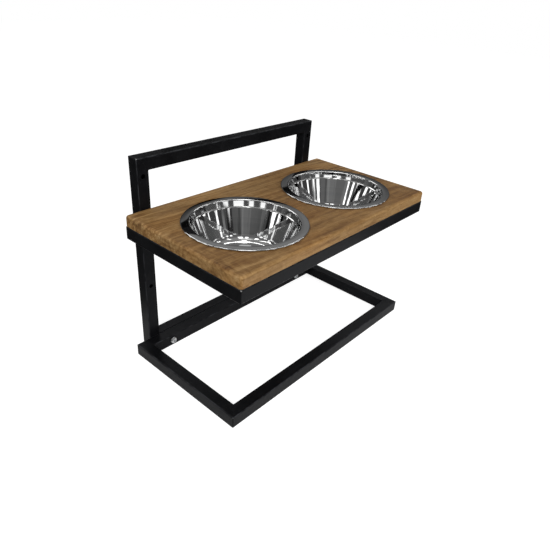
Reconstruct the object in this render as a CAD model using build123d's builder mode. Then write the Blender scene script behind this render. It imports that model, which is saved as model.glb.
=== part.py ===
from build123d import *
import os

# Square steel tube that all three frames are welded from
tube = 25.0
tube_wall = 1.5
tube_corner = 2.0
frame_corner = 2.0
weld_leg = 3.5
weld_hollow_share = 0.38

# Base frame, flat on the floor
base_width = 550.0
base_depth = 285.0
base_bolt_inset = 16.0

# Upright frame, standing on the floor against the back of the base, in from its sides and the tray's
upright_inset = 32.0
upright_height = 408.0
low_hole_height = 147.0
high_hole_drop = 34.0

# Tray frame, bolted to the front of the upright
tray_width = 550.0
tray_depth = 295.0
tray_height = 266.0

# Wooden board on the tray frame
board_thickness = 22.0
board_corner = 6.0
board_round = 5.5
board_ease = 1.0

# Bowl, a thin spun shell with a flat rim and a rolled edge
bowl_wall = 0.8
rim_width = 16.0
edge_roll = 1.2
mouth_round = 2.0
band_depth = 13.0
band_draft = 1.5
band_step = 1.5
step_rise = 1.0
step_round = 0.7
bowl_depth = 76.0
bowl_taper = 27.5
bowl_floor_round = 20.0
boss_inset = 29.5
boss_run = 4.0
boss_height = 1.8
boss_round = 3.0
bowl_hole_clearance = 1.6
seat_gap = 0.1

# Board left bare round the rims of the two bowls
bowl_gap = 36.0
bowl_side_margin = 27.0
bowl_front_margin = 19.5
bowl_back_margin = 45.5

# Bolt with a button head, its nut and its washer
bolt_diameter = 8.0
bolt_length = 60.0
bolt_point = 1.0
bolt_hole_clearance = 0.4
head_diameter = 14.0
head_height = 4.4
head_land = 0.8
socket_flats = 5.0
socket_depth = 2.6
nut_flats = 13.0
nut_thickness = 6.8
nut_chamfer = 0.7
thread_clearance = 0.05
washer_diameter = 16.0
washer_thickness = 1.6
washer_clearance = 0.2
washer_chamfer = 0.3

# Wood screw that holds the board down
screw_inset = 65.0
screw_diameter = 4.0
screw_length = 40.0
screw_point = 6.0
screw_head_diameter = 8.0
screw_head_height = 2.6
screw_head_land = 0.6
screw_hole_clearance = 0.3
pilot_clearance = 0.05

# Sizes that follow from those above
tube_bore = tube - 2 * tube_wall
tube_bore_corner = tube_corner - tube_wall
weld_length = tube - 2 * tube_corner
upright_width = min(base_width, tray_width) - 2 * upright_inset
bolt_reach = bolt_length - tube
joint_y = (tray_depth - bolt_reach) / 2
tray_y = joint_y - tray_depth / 2
tray_top = tray_height + tube
board_top = tray_top + board_thickness
tray_hole_height = tray_height + tube / 2
high_hole_height = upright_height - high_hole_drop
post_x = (upright_width - tube) / 2
base_bolt_x = upright_width / 2 - tube - base_bolt_inset
bolt_hole_radius = bolt_diameter / 2 + bolt_hole_clearance
screw_hole_radius = screw_diameter / 2 + screw_hole_clearance
screw_spacing = tray_width / 2 - screw_inset

# The rims are as large as the board's width and its depth both allow
rim_diameter_across = (tray_width - bowl_gap) / 2 - bowl_side_margin
rim_diameter_along = tray_depth - bowl_front_margin - bowl_back_margin
rim_radius = min(rim_diameter_across, rim_diameter_along) / 2
rim_z = board_top + seat_gap + 2 * edge_roll + bowl_wall / 2
bowl_x = tray_width / 2 - bowl_side_margin - rim_radius
bowl_y = tray_y - tray_depth / 2 + bowl_front_margin + rim_radius
mouth_radius = rim_radius - rim_width
bowl_hole_radius = mouth_radius + bowl_wall / 2 + bowl_hole_clearance
bowl_floor_radius = mouth_radius - bowl_taper
boss_radius = bowl_floor_radius - boss_inset

# Each frame lies in its own plane, with its centre in the middle of the tubes
base_place = Plane(origin=(0, joint_y - base_depth / 2, tube / 2))
tray_place = Plane(origin=(0, tray_y, tray_hole_height))
upright_place = Plane(
    origin=(0, joint_y + tube / 2, upright_height / 2), x_dir=(1, 0, 0), z_dir=(0, -1, 0)
)
# The bolts are set out on the plane where the upright meets the base and the tray
joint_place = Plane(origin=(0, joint_y, 0), x_dir=(1, 0, 0), z_dir=(0, -1, 0))
back_place = Plane(origin=(0, joint_y + tube, 0), x_dir=(-1, 0, 0), z_dir=(0, 1, 0))
low_side = (0, -1)
high_side = (0, 1)
left_side = (-1, 0)
right_side = (1, 0)
base_bolts_at = [(-base_bolt_x, tube / 2), (base_bolt_x, tube / 2)]
tray_bolts_at = [(-post_x, tray_hole_height), (post_x, tray_hole_height)]


def mitred_tube(place, across, along, side):
    """One tube of a frame centred on place, cut at 45 degrees at both ends."""
    out = place.x_dir * side[0] + place.y_dir * side[1]
    run = place.z_dir.cross(out)
    length = along if side[0] else across
    reach = (across if side[0] else along) / 2
    centre = place.origin + out * (reach - tube / 2)
    with BuildPart() as piece:
        with BuildSketch(Plane(origin=centre, x_dir=out, z_dir=run)):
            RectangleRounded(tube, tube, tube_corner)
            RectangleRounded(tube_bore, tube_bore, tube_bore_corner, mode=Mode.SUBTRACT)
        extrude(amount=length / 2, both=True)
        for end in (-1, 1):
            corner = place.origin + out * reach + run * (end * length / 2)
            mitre = Plane(origin=corner, z_dir=run * end - out)
            split(bisect_by=mitre, keep=Keep.BOTTOM)
        with BuildSketch(place.offset(-tube)):
            with GridLocations(across, along, 2, 2):
                Rectangle(2 * frame_corner, 2 * frame_corner)
            with GridLocations(across - 2 * frame_corner, along - 2 * frame_corner, 2, 2):
                Circle(frame_corner, mode=Mode.SUBTRACT)
        extrude(amount=2 * tube, mode=Mode.SUBTRACT)
    return piece.part


def corner_welds(place, across, along):
    """The four beads that fill the inside corners of a frame."""
    corner_x = across / 2 - tube
    corner_y = along / 2 - tube
    hollow = weld_leg * weld_hollow_share
    with BuildPart() as piece:
        with BuildSketch(place.offset(-weld_length / 2)):
            for x, y in ((-1, -1), (1, -1), (1, 1), (-1, 1)):
                corner = (x * corner_x, y * corner_y)
                beside = (x * (corner_x - weld_leg), y * corner_y)
                above = (x * corner_x, y * (corner_y - weld_leg))
                middle = (x * (corner_x - hollow), y * (corner_y - hollow))
                with BuildLine():
                    Polyline(above, corner, beside)
                    ThreePointArc(beside, middle, above)
                make_face()
        extrude(amount=weld_length)
    return piece.part


def bolt_drill(points, depth):
    """What the bolts' drill takes out, forwards of the joint plane for a positive depth."""
    with BuildPart() as cut:
        with BuildSketch(joint_place):
            with Locations(*points):
                Circle(bolt_hole_radius)
        extrude(amount=depth)
    return cut.part


def screw_drill(radius, bottom, depth):
    """What the screws' drill takes out, upwards from bottom."""
    with BuildPart() as cut:
        with BuildSketch(Plane.XY.offset(bottom)):
            with Locations((0, tray_y)):
                with GridLocations(screw_spacing, tray_depth - tube, 3, 2):
                    Circle(radius)
        extrude(amount=depth)
    return cut.part


def save(piece, name):
    piece.part.label = name
    export_step(piece.part, f"parts/{name}.step")


os.makedirs("parts", exist_ok=True)

# Base frame
with BuildPart() as base_front_rail:
    add(mitred_tube(base_place, base_width, base_depth, low_side))
save(base_front_rail, "base_front_rail")

with BuildPart() as base_back_rail:
    add(mitred_tube(base_place, base_width, base_depth, high_side))
    add(bolt_drill(base_bolts_at, tube), mode=Mode.SUBTRACT)
save(base_back_rail, "base_back_rail")

with BuildPart() as base_left_rail:
    add(mitred_tube(base_place, base_width, base_depth, left_side))
save(base_left_rail, "base_left_rail")

with BuildPart() as base_right_rail:
    add(mitred_tube(base_place, base_width, base_depth, right_side))
save(base_right_rail, "base_right_rail")

with BuildPart() as base_welds:
    add(corner_welds(base_place, base_width, base_depth))
save(base_welds, "base_welds")

# Upright frame, whose posts are drilled for three heights of the tray
with BuildPart() as upright_bottom_rail:
    add(mitred_tube(upright_place, upright_width, upright_height, low_side))
    add(bolt_drill(base_bolts_at, -tube), mode=Mode.SUBTRACT)
save(upright_bottom_rail, "upright_bottom_rail")

with BuildPart() as upright_top_rail:
    add(mitred_tube(upright_place, upright_width, upright_height, high_side))
save(upright_top_rail, "upright_top_rail")

for name, side in (("upright_left_post", left_side), ("upright_right_post", right_side)):
    heights = (low_hole_height, tray_hole_height, high_hole_height)
    holes_at = [(side[0] * post_x, height) for height in heights]
    with BuildPart() as upright_post:
        add(mitred_tube(upright_place, upright_width, upright_height, side))
        add(bolt_drill(holes_at, -tube), mode=Mode.SUBTRACT)
    save(upright_post, name)

with BuildPart() as upright_welds:
    add(corner_welds(upright_place, upright_width, upright_height))
save(upright_welds, "upright_welds")

# Tray frame
with BuildPart() as tray_front_rail:
    add(mitred_tube(tray_place, tray_width, tray_depth, low_side))
    add(screw_drill(screw_hole_radius, tray_height, tube), mode=Mode.SUBTRACT)
save(tray_front_rail, "tray_front_rail")

with BuildPart() as tray_back_rail:
    add(mitred_tube(tray_place, tray_width, tray_depth, high_side))
    add(screw_drill(screw_hole_radius, tray_height, tube), mode=Mode.SUBTRACT)
    add(bolt_drill(tray_bolts_at, tube), mode=Mode.SUBTRACT)
save(tray_back_rail, "tray_back_rail")

with BuildPart() as tray_left_rail:
    add(mitred_tube(tray_place, tray_width, tray_depth, left_side))
save(tray_left_rail, "tray_left_rail")

with BuildPart() as tray_right_rail:
    add(mitred_tube(tray_place, tray_width, tray_depth, right_side))
save(tray_right_rail, "tray_right_rail")

with BuildPart() as tray_welds:
    add(corner_welds(tray_place, tray_width, tray_depth))
save(tray_welds, "tray_welds")

# Board, flush with the tray frame, with a round hole for each bowl
with BuildPart() as board:
    with BuildSketch(Plane.XY.offset(tray_top)):
        with Locations((0, tray_y)):
            RectangleRounded(tray_width, tray_depth, board_corner)
        with Locations((-bowl_x, bowl_y), (bowl_x, bowl_y)):
            Circle(bowl_hole_radius, mode=Mode.SUBTRACT)
    extrude(amount=board_thickness)
    fillet(board.faces().sort_by(Axis.Z)[-1].outer_wire().edges(), board_round)
    holes = board.faces().sort_by(Axis.Z)[-1].inner_wires()
    chamfer([edge for hole in holes for edge in hole.edges()], board_ease)
    chamfer(board.faces().sort_by(Axis.Z)[0].outer_wire().edges(), board_ease)
    pilot = screw_drill(screw_diameter / 2 + pilot_clearance, tray_top, screw_length - tube + pilot_clearance)
    add(pilot, mode=Mode.SUBTRACT)
save(board, "board")

# Bowls, the wall traced along its middle line from the centre out to the rolled edge
roll_centre = rim_radius - bowl_wall / 2 - edge_roll
band_foot = mouth_radius - band_draft
wall_head = band_foot - band_step
for name, x in (("left_bowl", -bowl_x), ("right_bowl", bowl_x)):
    with BuildPart() as bowl:
        with BuildSketch(Plane(origin=(x, bowl_y, rim_z), x_dir=(1, 0, 0), z_dir=(0, -1, 0))):
            with BuildLine():
                FilletPolyline(
                    (0, boss_height - bowl_depth),
                    (boss_radius, boss_height - bowl_depth),
                    (boss_radius + boss_run, -bowl_depth),
                    (bowl_floor_radius, -bowl_depth),
                    (wall_head, -band_depth - step_rise),
                    (band_foot, -band_depth),
                    (mouth_radius, 0),
                    (roll_centre, 0),
                    radius=[
                        boss_round,
                        boss_round,
                        bowl_floor_round,
                        step_round,
                        step_round,
                        mouth_round,
                    ],
                )
                CenterArc((roll_centre, -edge_roll), edge_roll, 90, -270)
            trace(line_width=bowl_wall)
        revolve(axis=Axis((x, bowl_y, 0), (0, 0, 1)))
    save(bowl, name)

# One bolt, nut and washer, standing along +Z with the head's seat at the origin
with BuildPart() as bolt:
    with BuildSketch(Plane.XZ):
        with BuildLine():
            Polyline(
                (0, head_height),
                (0, -bolt_length),
                (bolt_diameter / 2 - bolt_point, -bolt_length),
                (bolt_diameter / 2, bolt_point - bolt_length),
                (bolt_diameter / 2, 0),
                (head_diameter / 2, 0),
                (head_diameter / 2, head_land),
            )
            dome_start = (head_diameter / 2, head_land)
            dome_end = (socket_flats / 2, head_height)
            TangentArc(dome_start, dome_end, tangent=(0, 1))
            Line(dome_end, (0, head_height))
        make_face()
    revolve(axis=Axis.Z)
    with BuildSketch(Plane.XY.offset(head_height)):
        RegularPolygon(socket_flats / 2, 6, major_radius=False)
    extrude(amount=-socket_depth, mode=Mode.SUBTRACT)

with BuildPart() as nut:
    with BuildSketch(Plane.XY):
        RegularPolygon(nut_flats / 2, 6, major_radius=False)
    extrude(amount=nut_thickness)
    with BuildSketch(Plane.XZ):
        with BuildLine():
            Polyline(
                (0, 0),
                (nut_flats / 2, 0),
                (nut_flats / 2 + 2 * nut_chamfer, nut_chamfer),
                (nut_flats / 2 + 2 * nut_chamfer, nut_thickness - nut_chamfer),
                (nut_flats / 2, nut_thickness),
                (0, nut_thickness),
                close=True,
            )
        make_face()
    revolve(axis=Axis.Z, mode=Mode.INTERSECT)
    Hole(bolt_diameter / 2 + thread_clearance)

with BuildPart() as washer:
    with BuildSketch(Plane.XY):
        Circle(washer_diameter / 2)
        Circle(bolt_diameter / 2 + washer_clearance, mode=Mode.SUBTRACT)
    extrude(amount=washer_thickness)
    chamfer(washer.faces().sort_by(Axis.Z)[-1].outer_wire().edges(), washer_chamfer)

# The heads sit on the front of the front tubes, the washers and nuts behind the upright
for name, points in (("base", base_bolts_at), ("tray", tray_bolts_at)):
    with BuildPart() as bolts:
        with Locations(joint_place.offset(tube)):
            with Locations(*points):
                add(bolt.part)
    save(bolts, f"{name}_bolts")

    with BuildPart() as washers:
        with Locations(back_place):
            with Locations(*points):
                add(washer.part)
    save(washers, f"{name}_washers")

    with BuildPart() as nuts:
        with Locations(back_place.offset(washer_thickness)):
            with Locations(*points):
                add(nut.part)
    save(nuts, f"{name}_nuts")

# One wood screw, pointing up with the head's seat at the origin, and the six of the board
with BuildPart() as screw:
    with BuildSketch(Plane.XZ):
        with BuildLine():
            Polyline(
                (0, -screw_head_height),
                (0, screw_length),
                (screw_diameter / 2, screw_length - screw_point),
                (screw_diameter / 2, 0),
                (screw_head_diameter / 2, 0),
                (screw_head_diameter / 2, -screw_head_land),
            )
            head_rim = (screw_head_diameter / 2, -screw_head_land)
            TangentArc((0, -screw_head_height), head_rim, tangent=(1, 0))
        make_face()
    revolve(axis=Axis.Z)

with BuildPart() as board_screws:
    with Locations((0, tray_y, tray_height)):
        with GridLocations(screw_spacing, tray_depth - tube, 3, 2):
            add(screw.part)
save(board_screws, "board_screws")
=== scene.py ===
import math
import bmesh
import bpy
from mathutils import Matrix, Vector


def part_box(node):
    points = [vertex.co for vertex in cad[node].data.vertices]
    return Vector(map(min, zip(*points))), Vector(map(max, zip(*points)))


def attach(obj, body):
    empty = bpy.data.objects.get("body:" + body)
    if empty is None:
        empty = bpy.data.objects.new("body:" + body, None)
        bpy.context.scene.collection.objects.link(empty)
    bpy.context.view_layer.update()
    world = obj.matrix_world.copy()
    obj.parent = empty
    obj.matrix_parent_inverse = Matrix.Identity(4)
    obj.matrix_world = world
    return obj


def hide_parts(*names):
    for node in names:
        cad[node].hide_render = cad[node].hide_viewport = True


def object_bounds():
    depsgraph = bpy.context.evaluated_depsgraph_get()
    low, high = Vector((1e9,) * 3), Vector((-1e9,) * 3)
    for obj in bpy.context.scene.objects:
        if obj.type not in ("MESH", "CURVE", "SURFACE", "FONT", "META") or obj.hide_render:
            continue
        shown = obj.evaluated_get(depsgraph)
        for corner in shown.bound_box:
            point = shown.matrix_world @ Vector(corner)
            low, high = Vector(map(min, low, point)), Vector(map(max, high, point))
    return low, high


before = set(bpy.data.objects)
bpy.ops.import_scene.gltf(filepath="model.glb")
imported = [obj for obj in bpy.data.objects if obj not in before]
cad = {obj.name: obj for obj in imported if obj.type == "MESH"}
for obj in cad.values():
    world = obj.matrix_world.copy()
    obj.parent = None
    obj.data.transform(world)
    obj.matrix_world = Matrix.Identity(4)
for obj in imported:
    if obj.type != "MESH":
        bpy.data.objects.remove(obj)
cad_low, cad_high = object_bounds()

# A dog feeder stand: its materials, finer bowls and welds, and the photograph's light and view
MM = 0.001
X_AXIS, Y_AXIS, Z_AXIS = 0, 1, 2

# Sizes read from the frame
base_low, base_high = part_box("base_front_rail")
base_back_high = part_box("base_back_rail")[1]
post_low, post_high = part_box("upright_left_post")
right_post_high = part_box("upright_right_post")[1]
tray_low, tray_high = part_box("tray_front_rail")
tray_back_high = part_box("tray_back_rail")[1]
board_low, board_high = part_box("board")
tube = tray_high.z - tray_low.z

# The middle of what a noise texture gives, and the mix node's sockets for numbers and for colours
NOISE_MIDDLE = 0.5
FIRST_NUMBER, SECOND_NUMBER, NUMBER_OUT = 2, 3, 0
FIRST_COLOUR, SECOND_COLOUR, COLOUR_OUT = 6, 7, 2


class Value:
    """A number that a node works out, so that a chain of math nodes reads like plain arithmetic."""

    def __init__(self, shader, socket):
        self.shader = shader
        self.socket = socket

    def __add__(self, other):
        return self.shader.math("ADD", self, other)

    def __radd__(self, other):
        return self.shader.math("ADD", other, self)

    def __sub__(self, other):
        return self.shader.math("SUBTRACT", self, other)

    def __rsub__(self, other):
        return self.shader.math("SUBTRACT", other, self)

    def __mul__(self, other):
        return self.shader.math("MULTIPLY", self, other)

    def __truediv__(self, other):
        return self.shader.math("DIVIDE", self, other)

    def __abs__(self):
        return self.shader.math("ABSOLUTE", self)

    def swing(self):
        """How far a noise is from its middle."""
        return self - NOISE_MIDDLE


class Shader:
    """Adds nodes to one node tree in few words."""

    def __init__(self, tree):
        self.tree = tree

    def node(self, kind, inputs=None, **settings):
        """A new node with its settings, and values or links for its inputs by name or number."""
        made = self.tree.nodes.new(kind)
        for name, value in settings.items():
            setattr(made, name, value)
        for name, value in (inputs or {}).items():
            self.put(made.inputs[name], value)
        return made

    def put(self, socket, value):
        """Links what a node gives to the socket, or sets a constant on it."""
        if isinstance(value, Value):
            value = value.socket
        if isinstance(value, bpy.types.NodeSocket):
            self.tree.links.new(value, socket)
        else:
            socket.default_value = value

    def math(self, operation, *values):
        """What a math node makes of the values."""
        made = self.node("ShaderNodeMath", dict(enumerate(values)), operation=operation)
        return Value(self, made.outputs[0])

    def length(self, across, along):
        """The length of a flat vector from its two parts."""
        return self.math("SQRT", across * across + along * along)

    def ramp(self, value, low, high, to_low=0.0, to_high=1.0):
        """The way from low to high as an eased way from to_low to to_high."""
        made = self.node(
            "ShaderNodeMapRange",
            {"Value": value, "From Min": low, "From Max": high, "To Min": to_low, "To Max": to_high},
            interpolation_type="SMOOTHSTEP",
        )
        return Value(self, made.outputs["Result"])

    def fall(self, value, low, high):
        """1 up to low, 0 from high on, and an eased way down between them."""
        return self.ramp(value, low, high, 1.0, 0.0)

    def parts(self, vector):
        """The vector's parts along X, Y and Z."""
        made = self.node("ShaderNodeSeparateXYZ", {"Vector": vector})
        return [Value(self, output) for output in made.outputs]

    def place(self):
        """The point in the object's own frame, and its three parts."""
        point = self.node("ShaderNodeTexCoord").outputs["Object"]
        return point, *self.parts(point)

    def vector(self, x, y, z):
        return self.node("ShaderNodeCombineXYZ", {"X": x, "Y": y, "Z": z}).outputs[0]

    def noise(self, point, scale, detail=2.0, roughness=0.5, distortion=0.0):
        """Noise from 0 to 1. Its scale is one number, or one for each axis."""
        if isinstance(scale, tuple):
            stretched = self.node("ShaderNodeVectorMath", {0: point, 1: scale}, operation="MULTIPLY")
            point, scale = stretched.outputs[0], 1.0
        made = self.node(
            "ShaderNodeTexNoise",
            {
                "Vector": point,
                "Scale": scale,
                "Detail": detail,
                "Roughness": roughness,
                "Distortion": distortion,
            },
        )
        return Value(self, made.outputs["Fac"])

    def blend(self, amount, first, second, mode="MIX"):
        """The first colour where the amount is 0, and the second one laid over it where it is 1."""
        made = self.node("ShaderNodeMix", data_type="RGBA", blend_type=mode)
        self.put(made.inputs["Factor"], amount)
        self.put(made.inputs[FIRST_COLOUR], first)
        self.put(made.inputs[SECOND_COLOUR], second)
        return made.outputs[COLOUR_OUT]

    def mix(self, amount, first, second):
        """The first number where the amount is 0, and the second where it is 1."""
        made = self.node("ShaderNodeMix", data_type="FLOAT")
        self.put(made.inputs["Factor"], amount)
        self.put(made.inputs[FIRST_NUMBER], first)
        self.put(made.inputs[SECOND_NUMBER], second)
        return Value(self, made.outputs[NUMBER_OUT])

    def colours(self, value, stops):
        """A colour for each value, from stops that are a position and a colour."""
        made = self.node("ShaderNodeValToRGB", {"Fac": value})
        ramp = made.color_ramp
        while len(ramp.elements) < len(stops):
            ramp.elements.new(1.0)
        for element, (position, colour) in zip(ramp.elements, stops):
            element.position = position
            element.color = colour
        return made.outputs["Color"]

    def bump(self, height, distance):
        """A normal bent by the height, where a height of 1 stands for the distance."""
        return self.node("ShaderNodeBump", {"Height": height, "Distance": distance}).outputs["Normal"]

    def ray_kinds(self):
        """1 for a ray from the camera or through glass, and 1 for a ray that metal or gloss throws back."""
        path = self.node("ShaderNodeLightPath").outputs
        direct = self.math("MAXIMUM", path["Is Camera Ray"], path["Is Transmission Ray"])
        return direct, path["Is Glossy Ray"]


def new_material(name):
    """A material, the tool that adds its nodes, and the inputs of its Principled shader."""
    material = bpy.data.materials.new(name)
    material.use_nodes = True
    tree = material.node_tree
    return material, Shader(tree), tree.nodes["Principled BSDF"].inputs


def grey(level):
    return (level, level, level, 1.0)


def third_axis(plane):
    """The axis that a plane of two axes leaves out."""
    return X_AXIS + Y_AXIS + Z_AXIS - sum(plane)


# Black paint on the tubes: its colours
PAINT = (0.0030, 0.0031, 0.0036, 1.0)
PAINT_CLOUDED = (0.0052, 0.0053, 0.0060, 1.0)
# The edges' lighter colour: rubbed paint, and also a painted highlight along every edge
PAINT_RUBBED_AND_HIGHLIT = (0.030, 0.031, 0.034, 1.0)
PAINT_GLEAM = 0.10
PAINT_GLEAM_TINT = (0.90, 0.93, 1.0, 1.0)
BARE_STEEL = grey(0.42)
BARE_ROUGHNESS = 0.3

# Its noises: scale per metre, detail and roughness
PAINT_CLOUD = (22.0, 3.0, 0.6)
PAINT_GRAIN = (620.0, 2.0, 0.55)
PAINT_PEEL = (1500.0, 1.0, 0.5)
PAINT_BRUSHED = ((60.0, 900.0, 60.0), 3.0, 0.6)
PAINT_PATCHES = (55.0, 2.0, 0.5)

# Ramps, as the ends between which they run and sometimes what they give there
CLOUD_RAMP = (0.3, 0.7)
PATCH_RAMP = (0.38, 0.62, 0.15, 1.0)

# Where a mitre's seam, the ground band beside it, a rubbed edge with its painted highlight and a chip of
# size 1 fade out
SEAM_FADE = (0.3 * MM, 1.1 * MM)
GROUND_FADE = (6 * MM, 14 * MM)
RUBBED_AND_HIGHLIGHT_FADE = (1.2 * MM, 1.8 * MM)
CHIP_FADE = (0.55, 0.8)
CHIP_RAGGEDNESS = 1.5

# How much of each the colour, the roughness and the height take
GROUND_IN_COLOUR, RUBBED_AND_HIGHLIGHT_IN_COLOUR = 0.25, 0.8
PAINT_ROUGHNESS = (0.30, 0.40)
GRAIN_IN_ROUGHNESS, GROUND_IN_ROUGHNESS, RUBBED_IN_ROUGHNESS = 0.12, 0.06, -0.06
PEEL_IN_HEIGHT, GRAIN_IN_HEIGHT, BRUSHED_IN_HEIGHT = 0.35, 0.45, 0.25
SEAM_IN_HEIGHT, CHIP_DEPTH = -1.6, 1.5
PAINT_RELIEF = 0.06 * MM


def black_paint(name, low, high, plane, chips):
    """Satin black on one frame that lies in the plane of two axes.

    It has seams under the paint at the mitres, rubbed edges that are also lighter as a painted edge
    highlight, and a chip of a given size at each listed corner.
    """
    material, shader, principled = new_material(name)
    point, *place = shader.place()
    inward = []
    for axis in plane:
        middle, half = (low[axis] + high[axis]) / 2, (high[axis] - low[axis]) / 2
        inward.append(half - abs(place[axis] - middle))
    off_mitre = abs(inward[0] - inward[1])
    seam = shader.fall(off_mitre, *SEAM_FADE)
    ground = shader.fall(off_mitre, *GROUND_FADE)

    cloud = shader.noise(point, *PAINT_CLOUD)
    grain = shader.noise(point, *PAINT_GRAIN)
    peel = shader.noise(point, *PAINT_PEEL)
    brushed = shader.noise(point, *PAINT_BRUSHED)

    across = third_axis(plane)
    depth = place[across] - low[across]
    from_edge = shader.math("MINIMUM", *inward)
    off_side = shader.math("MINIMUM", abs(from_edge), abs(from_edge - tube))
    off_face = shader.math("MINIMUM", abs(depth), abs(depth - tube))
    patchy = shader.ramp(shader.noise(point, *PAINT_PATCHES), *PATCH_RAMP)
    # Rubbed paint on the edges, which also lightens them as a painted edge highlight
    rubbed_and_highlit = shader.fall(off_side + off_face, *RUBBED_AND_HIGHLIGHT_FADE) * patchy

    wear = 0.0
    for corner, size in chips:
        away = shader.node("ShaderNodeVectorMath", {0: point, 1: tuple(corner)}, operation="DISTANCE")
        ragged = Value(shader, away.outputs["Value"]) + grain.swing() * (size * CHIP_RAGGEDNESS)
        spot = shader.fall(ragged, size * CHIP_FADE[0], size * CHIP_FADE[1])
        wear = shader.math("MAXIMUM", wear, spot)

    colour = shader.blend(shader.ramp(cloud, *CLOUD_RAMP), PAINT, PAINT_CLOUDED)
    colour = shader.blend(ground * GROUND_IN_COLOUR, colour, PAINT_CLOUDED)
    colour = shader.blend(rubbed_and_highlit * RUBBED_AND_HIGHLIGHT_IN_COLOUR, colour, PAINT_RUBBED_AND_HIGHLIT)
    rough = (
        shader.ramp(cloud, *CLOUD_RAMP, *PAINT_ROUGHNESS)
        + grain.swing() * GRAIN_IN_ROUGHNESS
        + ground * GROUND_IN_ROUGHNESS
        + rubbed_and_highlit * RUBBED_IN_ROUGHNESS
    )
    height = (
        peel * PEEL_IN_HEIGHT
        + grain * GRAIN_IN_HEIGHT
        + brushed * BRUSHED_IN_HEIGHT
        + seam * SEAM_IN_HEIGHT
    )
    shader.put(principled["Base Color"], shader.blend(wear, colour, BARE_STEEL))
    shader.put(principled["Metallic"], wear)
    shader.put(principled["Roughness"], shader.mix(wear, rough, BARE_ROUGHNESS))
    shader.put(principled["Specular IOR Level"], PAINT_GLEAM)
    shader.put(principled["Specular Tint"], PAINT_GLEAM_TINT)
    shader.put(principled["Normal"], shader.bump(height - wear * CHIP_DEPTH, PAINT_RELIEF))
    return material


# Wood of the board: where the tree's middle lay, and how its rings wander
HEART_Y, HEART_DEPTH = -0.055, 0.16
RING_GAP = 8.5 * MM
RING_DRIFT, RING_LEAN, RING_SWIRL_Z, RING_SWIRL = 0.10, 0.05, 0.02, 0.006
GRAIN_DRIFT, GRAIN_LEAN = 0.05, 0.06
LATE_POWER = 2.4

# Its noises: scale per metre along each axis, detail, roughness and sometimes distortion
DRIFT = ((2.2, 9.0, 9.0), 3.0, 0.5)
SWIRL = ((7.0, 26.0, 26.0), 2.0, 0.5)
BROAD = ((2.4, 17.0, 24.0), 2.0, 0.5)
BAND = ((3.6, 62.0, 80.0), 2.0, 0.55)
STREAK = ((7.0, 190.0, 190.0), 3.0, 0.6)
CLOUD = ((9.0, 20.0, 20.0), 3.0, 0.5)
FLECK = ((34.0, 210.0, 210.0), 2.0, 0.5)
PORES = ((45.0, 1500.0, 1500.0), 2.0, 0.6)
RAYS = ((420.0, 60.0, 260.0), 2.0, 0.5)
CURL = ((150.0, 30.0, 40.0), 3.0, 0.6)
TEETH = ((26.0, 120.0, 80.0), 2.0, 0.5)
MOTTLE = ((55.0, 85.0, 85.0), 3.0, 0.6, 1.2)

# Its ramps: those that pick marks out of a noise, the end of a year's ring, and those from front to back.
# One of them is painted shade and light that darkens the top towards the front and lightens it behind.
FLECK_RAMP = (0.60, 0.74)
PORE_RAMP = (0.60, 0.72)
REDDENED_RAMP = (0.38, 0.70, 0.0, 0.6)
YEAR_END_RAMP = (0.9, 1.0, 1.0, 0.25)
CURL_TO_TEETH_Y = (-0.10, 0.0)
PAINTED_SHADE_AND_LIGHT_Y = (-0.02, 0.12, -0.11, 0.10)
STREAKIER_BEHIND_Y = (-0.06, 0.10, 0.62, 1.35)

# How far under the board's top the painted shade fades in, and how far from its ends the ripples reach
TOP_SHADE_FADE = (3 * MM, 0.5 * MM)
RIPPLED_END = 60 * MM

# How much of each layer the tone takes
BROAD_IN_TONE, BAND_IN_TONE, CLOUD_IN_TONE, MOTTLE_IN_TONE = 0.60, 0.45, 0.30, 0.42
LATE_IN_TONE, RAYS_IN_TONE, FLECK_IN_TONE = -0.16, 0.24, -0.16
LATE_MIDDLE, MIDDLE_TONE = 0.3, 0.50

# Its colours from the darkest tone to the lightest
WOOD_TONES = (
    (0.02, (0.060, 0.026, 0.008, 1.0)),
    (0.30, (0.140, 0.072, 0.024, 1.0)),
    (0.50, (0.218, 0.124, 0.046, 1.0)),
    (0.72, (0.302, 0.188, 0.080, 1.0)),
    (1.00, (0.410, 0.278, 0.138, 1.0)),
)
WOOD_REDDENED = (1.0, 0.86, 0.66, 1.0)
WOOD_PORE = (0.075, 0.034, 0.012, 1.0)
PORE_IN_COLOUR = 0.40
WOOD_ROUGHNESS, PORE_IN_ROUGHNESS, STREAK_IN_ROUGHNESS = 0.52, 0.2, 0.2
WOOD_GLEAM = 0.22
PORE_IN_HEIGHT, STREAK_IN_HEIGHT, LATE_IN_HEIGHT = -1.0, 0.35, 0.25
WOOD_RELIEF = 0.12 * MM


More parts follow.
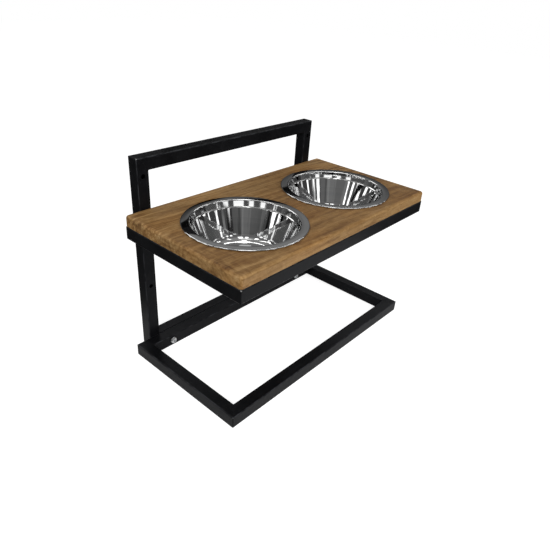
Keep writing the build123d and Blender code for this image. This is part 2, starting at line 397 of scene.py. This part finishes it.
def wood():
    """Oiled hardwood with its grain along X: rings, streaks, flecks, pores, rippled ends, and painted shade
    on top.
    """
    material, shader, principled = new_material("oiled_wood")
    point, x, y, z = shader.place()
    drift = shader.noise(point, *DRIFT).swing()
    swirl = shader.noise(point, *SWIRL).swing()
    ring_y = y - HEART_Y + drift * RING_DRIFT + x * RING_LEAN
    ring_z = z - (board_low.z - HEART_DEPTH) + swirl * RING_SWIRL_Z
    ring = shader.length(ring_y, ring_z) + swirl * RING_SWIRL
    year = shader.math("FRACT", ring * (1 / RING_GAP))
    late = shader.math("POWER", year, LATE_POWER) * shader.ramp(year, *YEAR_END_RAMP)

    bent = shader.vector(x, y + drift * GRAIN_DRIFT + x * GRAIN_LEAN, z)
    broad = shader.noise(bent, *BROAD)
    band = shader.noise(bent, *BAND)
    streak = shader.noise(bent, *STREAK)
    cloud = shader.noise(point, *CLOUD)
    fleck = shader.ramp(shader.noise(bent, *FLECK), *FLECK_RAMP)
    pore = shader.ramp(shader.noise(point, *PORES), *PORE_RAMP)
    rays = shader.noise(point, *RAYS)
    mottle = shader.noise(bent, *MOTTLE)

    curl = shader.noise(point, *CURL)
    teeth = shader.noise(point, *TEETH)
    figure = shader.mix(shader.ramp(y, *CURL_TO_TEETH_Y), curl, teeth)
    ripple = figure.swing() * shader.fall(board_high.x - abs(x), 0.0, RIPPLED_END)

    # Painted shade and light on the top: darker towards the front and lighter behind, as the light falls
    painted_shade_on_top = shader.ramp(z, board_high.z - TOP_SHADE_FADE[0], board_high.z - TOP_SHADE_FADE[1])
    tone = (
        painted_shade_on_top * shader.ramp(y, *PAINTED_SHADE_AND_LIGHT_Y)
        + broad.swing() * BROAD_IN_TONE
        + band.swing() * BAND_IN_TONE
        + cloud.swing() * CLOUD_IN_TONE
        + streak.swing() * shader.ramp(y, *STREAKIER_BEHIND_Y)
        + mottle.swing() * MOTTLE_IN_TONE
        + (late - LATE_MIDDLE) * LATE_IN_TONE
        + rays.swing() * RAYS_IN_TONE
        + ripple
        + fleck * FLECK_IN_TONE
        + MIDDLE_TONE
    )
    colour = shader.colours(tone, WOOD_TONES)
    colour = shader.blend(shader.ramp(cloud, *REDDENED_RAMP), colour, WOOD_REDDENED, "MULTIPLY")
    colour = shader.blend(pore * PORE_IN_COLOUR, colour, WOOD_PORE)
    rough = WOOD_ROUGHNESS + pore * PORE_IN_ROUGHNESS + streak.swing() * STREAK_IN_ROUGHNESS
    height = pore * PORE_IN_HEIGHT + streak * STREAK_IN_HEIGHT + late * LATE_IN_HEIGHT
    shader.put(principled["Base Color"], colour)
    shader.put(principled["Roughness"], rough)
    shader.put(principled["Specular IOR Level"], WOOD_GLEAM)
    shader.put(principled["Normal"], shader.bump(height, WOOD_RELIEF))
    return material


# Sizes of a bowl
BOWL_WALL = 0.8 * MM
RIM_WIDTH = 16.0 * MM
EDGE_ROLL = 1.2 * MM
BAND_DEPTH = 13.0 * MM
BAND_DRAFT = 1.5 * MM
BAND_STEP = 1.5 * MM
STEP_RISE = 1.0 * MM
BOWL_TAPER = 27.5 * MM
BOSS_INSET = 29.5 * MM
BOSS_RUN = 4.0 * MM
BOSS_HEIGHT = 1.8 * MM

# The radii of its sheet's bends from the boss to the mouth, and how finely each bend, the rolled edge and
# the whole bowl are cut. The rolled edge starts at its top, 90 degrees, and turns by 270.
BENDS = (3 * MM, 3 * MM, 20 * MM, 0.7 * MM, 0.7 * MM, 2 * MM)
BEND_STEPS = 10
ROLL_STEPS = 26
ROLL_START, ROLL_TURN = 90, 270
TURNS = 288
ON_AXIS = 1e-6

# Stainless steel of the bowls: two tints, and its noises with their scale, detail and roughness
STEEL_TINTS = (0.60, 0.605, 0.61, 1.0), (0.67, 0.67, 0.665, 1.0)
WIDE_WAVES = (3.0, 1.0, 0.5)
RIBS = (10.0, 2.0, 0.5)
FINE_RIBS = (34.0, 2.0, 0.6)
RIB_CHANGE_DOWN = 1.2
RIBS_IN_WAVES, FINE_RIBS_IN_WAVES = 0.6, 0.08
LATHE = (900.0, 2.0, 0.6)
SMEAR = (90.0, 3.0, 0.6)
SMEAR_RAMP = (0.3, 0.7)
SCUFF = (240.0, 4.0, 0.7)
RIM_ROUGHNESS, RIM_LATHE, RIM_SCUFF = 0.055, 0.05, 0.03
WALL_ROUGHNESS, WALL_SMEAR, WALL_SCUFF = 0.032, 0.03, 0.015
STEEL_STREAKING = 0.15
LATHE_IN_HEIGHT = 0.004
STEEL_RELIEF = 0.35 * MM

# The ribs start to fade this far below the step near the mouth, and on the floor they fade towards its
# middle between these shares of its radius
RIBS_FADE_START = 1 * MM
RIBS_GONE, RIBS_FULL = 0.28, 0.66


def stainless(floor_radius):
    """Spun steel: a polished wall with faint ribs down it, and a slightly duller rim and band."""
    material, shader, principled = new_material("spun_stainless")
    point, x, y, z = shader.place()
    radius = shader.length(x, y)
    bearing = shader.vector(x / radius, y / radius, z * RIB_CHANGE_DOWN)
    ribs = shader.noise(bearing, *RIBS)
    fine_ribs = shader.noise(bearing, *FINE_RIBS)
    wide = shader.noise(bearing, *WIDE_WAVES)
    profile = shader.vector(radius, z, 0.0)
    lathe = shader.noise(profile, *LATHE)
    smear = shader.noise(profile, *SMEAR)
    scuff = shader.noise(point, *SCUFF)
    on_wall = shader.fall(z, -BAND_DEPTH - STEP_RISE - RIBS_FADE_START, -BAND_DEPTH)
    off_middle = shader.ramp(radius, floor_radius * RIBS_GONE, floor_radius * RIBS_FULL)

    rough = shader.mix(
        on_wall,
        RIM_ROUGHNESS + lathe.swing() * RIM_LATHE + scuff.swing() * RIM_SCUFF,
        WALL_ROUGHNESS + smear.swing() * WALL_SMEAR + scuff.swing() * WALL_SCUFF,
    )
    waves = wide + ribs * RIBS_IN_WAVES + fine_ribs * FINE_RIBS_IN_WAVES
    height = waves * on_wall * off_middle + lathe * LATHE_IN_HEIGHT
    tangent = shader.node("ShaderNodeTangent", direction_type="RADIAL", axis="Z")
    shader.put(principled["Base Color"], shader.blend(shader.ramp(smear, *SMEAR_RAMP), *STEEL_TINTS))
    shader.put(principled["Metallic"], 1.0)
    shader.put(principled["Roughness"], rough)
    shader.put(principled["Anisotropic"], STEEL_STREAKING)
    shader.put(principled["Tangent"], tangent.outputs[0])
    shader.put(principled["Normal"], shader.bump(height, STEEL_RELIEF))
    return material


# Zinc of the bolts, nuts, washers and screws: two tints, and its noises as above
ZINC_TINTS = (0.60, 0.62, 0.64, 1.0), (0.74, 0.75, 0.75, 1.0)
ZINC_BLOTCH = (380.0, 3.0, 0.6)
ZINC_TURNED = ((2600.0, 500.0, 2600.0), 2.0, 0.5)
ZINC_TINT_RAMP = (0.35, 0.68)
ZINC_ROUGHNESS_RAMP = (0.3, 0.7, 0.28, 0.46)
ZINC_RELIEF = 0.02 * MM


def zinc():
    """Bright zinc, a little blotched, with fine turning marks."""
    material, shader, principled = new_material("bright_zinc")
    point = shader.place()[0]
    blotch = shader.noise(point, *ZINC_BLOTCH)
    turned = shader.noise(point, *ZINC_TURNED)
    shader.put(principled["Base Color"], shader.blend(shader.ramp(blotch, *ZINC_TINT_RAMP), *ZINC_TINTS))
    shader.put(principled["Metallic"], 1.0)
    shader.put(principled["Roughness"], shader.ramp(blotch, *ZINC_ROUGHNESS_RAMP))
    shader.put(principled["Normal"], shader.bump(turned + blotch, ZINC_RELIEF))
    return material


def add_object(name, data):
    """A new object in the scene."""
    made = bpy.data.objects.new(name, data)
    bpy.context.scene.collection.objects.link(made)
    return made


def finished_mesh(name, draft):
    """The mesh that a bmesh draft gives. The draft is freed."""
    mesh = bpy.data.meshes.new(name)
    draft.to_mesh(mesh)
    draft.free()
    return mesh


# A bowl, spun from its profile
def rounded_line(points, bends):
    """The points joined by straight runs, with an arc of the given radius at each inner corner."""
    line = [Vector(points[0])]
    for before, corner, after, radius in zip(points, points[1:], points[2:], bends):
        before, corner, after = Vector(before), Vector(corner), Vector(after)
        back = (before - corner).normalized()
        ahead = (after - corner).normalized()
        half = back.angle(ahead) / 2
        reach = radius / math.tan(half)
        centre = corner + (back + ahead).normalized() * (radius / math.sin(half))
        start = corner + back * reach - centre
        end = corner + ahead * reach - centre
        sweep = start.angle_signed(end)
        for i in range(BEND_STEPS + 1):
            turn = Matrix.Rotation(-sweep * i / BEND_STEPS, 2)
            line.append(centre + turn @ start)
    line.append(Vector(points[-1]))
    return line


def bowl_line(rim_radius, floor_radius, depth):
    """The middle of the bowl's sheet, from its axis to the end of the rolled edge."""
    mouth = rim_radius - RIM_WIDTH
    foot = mouth - BAND_DRAFT
    boss = floor_radius - BOSS_INSET
    roll_centre = rim_radius - BOWL_WALL / 2 - EDGE_ROLL
    points = [
        (0, BOSS_HEIGHT - depth),
        (boss, BOSS_HEIGHT - depth),
        (boss + BOSS_RUN, -depth),
        (floor_radius, -depth),
        (foot - BAND_STEP, -BAND_DEPTH - STEP_RISE),
        (foot, -BAND_DEPTH),
        (mouth, 0),
        (roll_centre, 0),
    ]
    line = rounded_line(points, BENDS)
    for i in range(1, ROLL_STEPS + 1):
        angle = math.radians(ROLL_START - ROLL_TURN * i / ROLL_STEPS)
        across, up = EDGE_ROLL * math.cos(angle), EDGE_ROLL * math.sin(angle)
        line.append(Vector((roll_centre + across, -EDGE_ROLL + up)))
    return line


def sheet_outline(line, thickness):
    """Out along the upper face of a sheet whose middle is the line, and back along the lower one."""
    upper, lower = [], []
    for i, spot in enumerate(line):
        before = line[max(i - 1, 0)]
        after = line[min(i + 1, len(line) - 1)]
        run = (after - before).normalized()
        side = Vector((-run.y, run.x)) * thickness / 2
        upper.append(spot + side)
        lower.append(spot - side)
    return upper + lower[::-1]


def spun_mesh(name, outline):
    """The outline turned round Z. A spot on the axis is one point."""
    draft = bmesh.new()
    angles = [2 * math.pi * i / TURNS for i in range(TURNS)]
    rings = []
    for spot in outline:
        if spot.x < ON_AXIS:
            rings.append([draft.verts.new((0, 0, spot.y))])
            continue
        rings.append([
            draft.verts.new((spot.x * math.cos(angle), spot.x * math.sin(angle), spot.y)) for angle in angles
        ])
    for inner, outer in zip(rings, rings[1:]):
        for i in range(TURNS):
            after = (i + 1) % TURNS
            if len(inner) == 1:
                draft.faces.new((inner[0], outer[i], outer[after]))
            elif len(outer) == 1:
                draft.faces.new((inner[i], outer[0], inner[after]))
            else:
                draft.faces.new((inner[i], outer[i], outer[after], inner[after]))
    bmesh.ops.recalc_face_normals(draft, faces=draft.faces)
    mesh = finished_mesh(name, draft)
    mesh.polygons.foreach_set("use_smooth", [True] * len(mesh.polygons))
    return mesh


def spun_bowl(name, node, body):
    """A finer bowl in the place of the node. Its own origin is in the middle of its rim's plane."""
    low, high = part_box(node)
    rim_radius = (high.x - low.x) / 2
    rim_z = high.z - BOWL_WALL / 2
    depth = rim_z - low.z - BOWL_WALL / 2
    floor_radius = rim_radius - RIM_WIDTH - BOWL_TAPER
    line = bowl_line(rim_radius, floor_radius, depth)
    bowl = add_object(name, spun_mesh(name, sheet_outline(line, BOWL_WALL)))
    bowl.location = ((low.x + high.x) / 2, (low.y + high.y) / 2, rim_z)
    bowl.data.materials.append(stainless(floor_radius))
    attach(bowl, body)
    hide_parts(node)


# Rippled weld beads in the inside corners
WELD_LEG = 3.5 * MM
WELD_HOLLOW = 0.38
RIPPLE_PITCH = 1.5 * MM
RIPPLE_HEIGHT = 0.16 * MM
BEAD_ARC_STEPS, BEAD_RUN_STEPS = 10, 84

# By how many pitches a ripple's two sides are bent, a bead's size at its ends, and how fast it grows there
RIPPLE_BEND = 2.2
END_SIZE, END_GROWTH = 0.35, 6


def bead_spot(share, height, taper):
    """Where a share of a bead's arc lies in its corner, as distances from the corner's two faces."""
    start, end = Vector((0, 1)), Vector((1, 0))
    middle = Vector((WELD_HOLLOW, WELD_HOLLOW))
    control = 2 * middle - (start + end) / 2
    spot = (1 - share) ** 2 * start + 2 * share * (1 - share) * control + share**2 * end
    bent = height + RIPPLE_BEND * RIPPLE_PITCH * (2 * share - 1) ** 2
    ripple = math.sin(2 * math.pi * bent / RIPPLE_PITCH)
    swell = RIPPLE_HEIGHT / WELD_LEG * ripple * math.sin(math.pi * share)
    return (spot + Vector((swell, swell))) * taper * WELD_LEG


def add_bead(draft, low, high, plane, signs):
    """One bead that stands across the plane, in the corner of the box that the two signs give."""
    first, second = plane
    up = third_axis(plane)
    corner = [(high if sign > 0 else low)[axis] for axis, sign in zip(plane, signs)]

    def vertex(spot, height):
        place = [0.0, 0.0, 0.0]
        place[first] = corner[0] - signs[0] * spot[0]
        place[second] = corner[1] - signs[1] * spot[1]
        place[up] = height
        return draft.verts.new(place)

    rows = []
    for j in range(BEAD_RUN_STEPS + 1):
        share = j / BEAD_RUN_STEPS
        height = low[up] + share * (high[up] - low[up])
        taper = min(1.0, math.sin(math.pi * share) * END_GROWTH + END_SIZE)
        row = [
            vertex(bead_spot(i / BEAD_ARC_STEPS, height, taper), height)
            for i in range(BEAD_ARC_STEPS + 1)
        ]
        rows.append(row + [vertex((0.0, 0.0), height)])
    for below, above in zip(rows, rows[1:]):
        for i in range(len(below)):
            after = (i + 1) % len(below)
            draft.faces.new((below[i], below[after], above[after], above[i]))
    draft.faces.new(rows[0])
    draft.faces.new(rows[-1])


def weld_beads(name, node, body, plane, material):
    """Four beads in the place of the node, one in each inside corner of a frame."""
    low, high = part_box(node)
    draft = bmesh.new()
    for signs in ((-1, -1), (-1, 1), (1, -1), (1, 1)):
        add_bead(draft, low, high, plane, signs)
    bmesh.ops.recalc_face_normals(draft, faces=draft.faces)
    mesh = finished_mesh(name, draft)
    mesh.polygons.foreach_set("use_smooth", [len(face.vertices) == 4 for face in mesh.polygons])
    mesh.materials.append(material)
    beads = add_object(name, mesh)
    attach(beads, body)
    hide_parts(node)


def dress(names, material):
    """Puts the material on CAD nodes in place of what they have."""
    for name in names:
        mesh = cad[name].data
        mesh.materials.clear()
        mesh.materials.append(material)


# The frames: their paint, their chips and their welds
flat, standing = (X_AXIS, Y_AXIS), (X_AXIS, Z_AXIS)
base_paint = black_paint(
    "black_paint_base",
    base_low,
    Vector((base_high.x, base_back_high.y, base_high.z)),
    flat,
    [
        (Vector((base_low.x, base_low.y, base_high.z)), 1.4 * MM),
        (Vector((base_high.x, base_low.y, base_high.z)), 1.2 * MM),
    ],
)
upright_paint = black_paint(
    "black_paint_upright",
    post_low,
    Vector((right_post_high.x, post_high.y, post_high.z)),
    standing,
    [
        (Vector((post_low.x, post_low.y, post_high.z)), 2.6 * MM),
        (Vector((right_post_high.x, post_low.y, post_high.z)), 1.4 * MM),
    ],
)
tray_paint = black_paint(
    "black_paint_tray",
    tray_low,
    Vector((tray_high.x, tray_back_high.y, tray_high.z)),
    flat,
    [
        (Vector((tray_low.x, tray_low.y, tray_high.z)), 2.8 * MM),
        (Vector((tray_high.x, tray_low.y, tray_high.z)), 1.3 * MM),
    ],
)
sides = ("front", "back", "left", "right")
dress([f"base_{side}_rail" for side in sides], base_paint)
dress(["upright_bottom_rail", "upright_top_rail", "upright_left_post", "upright_right_post"], upright_paint)
dress([f"tray_{side}_rail" for side in sides], tray_paint)
weld_beads("base_weld_beads", "base_welds", "stand", flat, base_paint)
weld_beads("upright_weld_beads", "upright_welds", "stand", standing, upright_paint)
weld_beads("tray_weld_beads", "tray_welds", "tray", flat, tray_paint)

# The board, the fasteners and the bowls
dress(["board"], wood())
fasteners = [f"{owner}_{kind}" for owner in ("base", "tray") for kind in ("bolts", "washers", "nuts")]
dress([*fasteners, "board_screws"], zinc())
spun_bowl("left_bowl_spun", "left_bowl", "left_bowl")
spun_bowl("right_bowl_spun", "right_bowl", "right_bowl")


# Floor: pale to the camera, and to the metal a lit sheet of paper with a dark surround
FLOOR_SIZE = 14.0
FLOOR_SQUARES = 24
FLOOR_GAP = 0.2 * MM
FLOOR_GLOW = 0.785
FLOOR_GREY = grey(0.50)
SURROUND_GREY = grey(0.10)
PAPER_TINTS = (0.90, 0.90, 0.90, 1.0), (0.88, 0.88, 0.875, 1.0)
PAPER_FIBRE = (900.0, 2.0, 0.5)
FIBRE_IN_COLOUR = 0.2
SHEET_X, SHEET_HALF_X = 0.115, 0.455
SHEET_Y, SHEET_HALF_Y = -0.45, 0.72
SHEET_SOFT = 0.08


def paper():
    """A pale glow for rays from the camera or through glass, and lit paper on a dark ground for others."""
    material, shader, _ = new_material("floor_paper")
    point, x, y, _ = shader.place()
    fibre = shader.noise(point, *PAPER_FIBRE)
    on_sheet = (
        shader.fall(abs(x - SHEET_X), SHEET_HALF_X - SHEET_SOFT, SHEET_HALF_X + SHEET_SOFT)
        * shader.fall(abs(y - SHEET_Y), SHEET_HALF_Y - SHEET_SOFT, SHEET_HALF_Y + SHEET_SOFT)
    )
    sheet = shader.blend(fibre * FIBRE_IN_COLOUR, *PAPER_TINTS)
    bounce = shader.node("ShaderNodeBsdfDiffuse", {"Color": shader.blend(on_sheet, SURROUND_GREY, sheet)})
    shadowed = shader.node("ShaderNodeBsdfDiffuse", {"Color": FLOOR_GREY})
    glow = shader.node("ShaderNodeEmission", {"Color": grey(1.0), "Strength": FLOOR_GLOW})
    pale = shader.node("ShaderNodeAddShader", {0: shadowed.outputs[0], 1: glow.outputs[0]})
    direct, _ = shader.ray_kinds()
    mixed = shader.node("ShaderNodeMixShader", {0: direct, 1: bounce.outputs[0], 2: pale.outputs[0]})
    nodes = shader.tree.nodes
    shader.put(nodes["Material Output"].inputs["Surface"], mixed.outputs[0])
    nodes.remove(nodes["Principled BSDF"])
    return material


floor_draft = bmesh.new()
bmesh.ops.create_grid(floor_draft, x_segments=FLOOR_SQUARES, y_segments=FLOOR_SQUARES, size=FLOOR_SIZE / 2)
floor = add_object("floor", finished_mesh("floor", floor_draft))
floor.location = (0.0, 0.0, base_low.z - FLOOR_GAP)
floor.data.materials.append(paper())


# World: even light, white to the camera, and a dim studio with bright panels to the metal
ROOM_LIGHT = 0.43

# The studio's own light at three heights, and the degrees over which it grows from one to the next
NEAR_HORIZON, HALF_WAY_UP, OVERHEAD = 0.06, 0.16, 0.30
FIRST_GROWTH, SECOND_GROWTH = (16, 24), (40, 60)
PANEL_SOFT = 1.2

# Panels by their foot and head in degrees: the bearing from +X and half the width in degrees, and how much
# light each adds or, below 0, takes away. The camera's bearing is 220.
PANELS = (
    # Strips that cross the horizon on both sides of the camera
    (-20, 18, (
        (294, 2.2, 2.6), (277, 3.0, 0.20), (158, 4.0, 2.6), (142, 4.0, 2.6), (122, 2.5, 2.2),
        (108, 1.5, 2.2), (312, 1.6, 2.2), (326, 2.0, 2.2), (340, 1.6, 2.2),
    )),
    # Wide panels half way up, across from the camera and to its sides
    (34, 46, ((78, 22, 2.2), (135, 11, 2.2), (20, 11, 2.2), (-32, 11, 2.2))),
    # A wide pale panel high over the camera
    (64, 80, ((222, 34, 0.75),)),
    # Brighter panels below it and to its sides
    (47, 63, ((241, 9, 2.6), (217, 5, 2.6), (288, 4, 2.6), (178, 6, 2.6), (146, 4, 2.6))),
    # Narrow strips on both sides of the camera
    (20, 31, (
        (264, 2.2, 2.6), (276, 2.2, 2.6), (290, 2.2, 2.6), (176, 2.2, 2.6), (164, 2.2, 2.6),
        (150, 2.2, 2.6),
    )),
    # Faint light and dark patches round the camera, seen in the far walls of the bowls
    (5, 30, (
        (226, 9, 0.05), (231, 2.5, 0.05), (214, 2, 0.05), (183, 4, 0.06), (262, 6, -0.07),
        (168, 3, -0.06), (240, 3, -0.05),
    )),
    # Faint patches across from the camera, seen in the flat rims
    (10, 24, ((57, 9, -0.10),)),
    (25.5, 33, ((44, 10, 0.09),)),
    (20, 25, ((33, 5, 0.05),)),
    # Bright panels high across from the camera, seen in the rolled edges
    (62, 86, ((40, 18, 5.0),)),
    (56, 66, ((14, 6, 6.0), (66, 6, 6.0))),
)

world = bpy.data.worlds.new("studio")
bpy.context.scene.world = world
world.use_nodes = True
sky = Shader(world.node_tree)
east, north, upward = sky.parts(sky.node("ShaderNodeTexCoord").outputs["Generated"])
azimuth = sky.math("ARCTAN2", north, east)
rise = sky.math("ARCSINE", upward)


def panel(bearing, half_width, foot, head):
    """1 in a panel of the studio and 0 beside it, from its sizes in degrees."""
    off = abs(sky.math("WRAP", azimuth - math.radians(bearing), math.pi, -math.pi))
    beside = sky.fall(off, math.radians(half_width - PANEL_SOFT), math.radians(half_width + PANEL_SOFT))
    over = sky.ramp(rise, math.radians(foot - PANEL_SOFT), math.radians(foot + PANEL_SOFT))
    under = sky.fall(rise, math.radians(head - PANEL_SOFT), math.radians(head + PANEL_SOFT))
    return beside * over * under


def growth(degrees, low, high):
    """Light that grows from low to high between two heights in degrees."""
    start, end = degrees
    return sky.ramp(rise, math.radians(start), math.radians(end), low, high)


studio = growth(FIRST_GROWTH, NEAR_HORIZON, HALF_WAY_UP) + growth(SECOND_GROWTH, 0.0, OVERHEAD - HALF_WAY_UP)
for foot, head, panels in PANELS:
    for bearing, half_width, strength in panels:
        studio = studio + panel(bearing, half_width, foot, head) * strength
direct, mirrored = sky.ray_kinds()
level = sky.mix(direct, sky.mix(mirrored, ROOM_LIGHT, studio), 1.0)
background = world.node_tree.nodes["Background"].inputs
sky.put(background["Color"], grey(1.0))
sky.put(background["Strength"], level)


# Lamps
def lamp(name, place, target, side, power):
    """A square soft lamp that points at the target and is seen neither by the camera nor in metal."""
    data = bpy.data.lights.new(name, "AREA")
    data.shape = "SQUARE"
    data.size = side
    data.energy = power
    made = add_object(name, data)
    made.location = place
    made.rotation_mode = "QUATERNION"
    made.rotation_quaternion = (Vector(target) - Vector(place)).to_track_quat("-Z", "Y")
    made.visible_camera = False
    made.visible_glossy = False


middle = (cad_low + cad_high) / 2
lamp("front_softbox", (0.2, -2.3, 1.15), middle, 1.3, 34.0)
lamp("left_softbox", (-1.45, -0.7, 1.25), middle, 0.9, 24.0)


# Camera at the photograph's view
FOCAL_PIXELS = 509.958
PICTURE_PIXELS = 550.0
SENSOR = 36.0
CAMERA_TURN = math.radians(-49.624)
CAMERA_RISE = math.radians(30.082)
CAMERA_ROLL = math.radians(3.912)
CAMERA_DISTANCE = 1.133
AIM = Vector((0.020272, 0.022643, 0.121457))
NEAREST, FURTHEST = 0.05, 60.0

camera_data = bpy.data.cameras.new("camera")
camera_data.sensor_width = SENSOR
camera_data.lens = FOCAL_PIXELS / PICTURE_PIXELS * SENSOR
camera_data.clip_start = NEAREST
camera_data.clip_end = FURTHEST
camera = add_object("camera", camera_data)
back = Vector((
    math.sin(CAMERA_TURN) * math.cos(CAMERA_RISE),
    -math.cos(CAMERA_TURN) * math.cos(CAMERA_RISE),
    math.sin(CAMERA_RISE),
))
right = Vector((0, 0, 1)).cross(back).normalized()
up = back.cross(right)
right, up = (
    math.cos(CAMERA_ROLL) * right + math.sin(CAMERA_ROLL) * up,
    math.cos(CAMERA_ROLL) * up - math.sin(CAMERA_ROLL) * right,
)
turned = Matrix((right, up, back)).transposed().to_4x4()
camera.matrix_world = Matrix.Translation(AIM + back * CAMERA_DISTANCE) @ turned
bpy.context.scene.camera = camera
bpy.context.scene.view_settings.view_transform = "Standard"
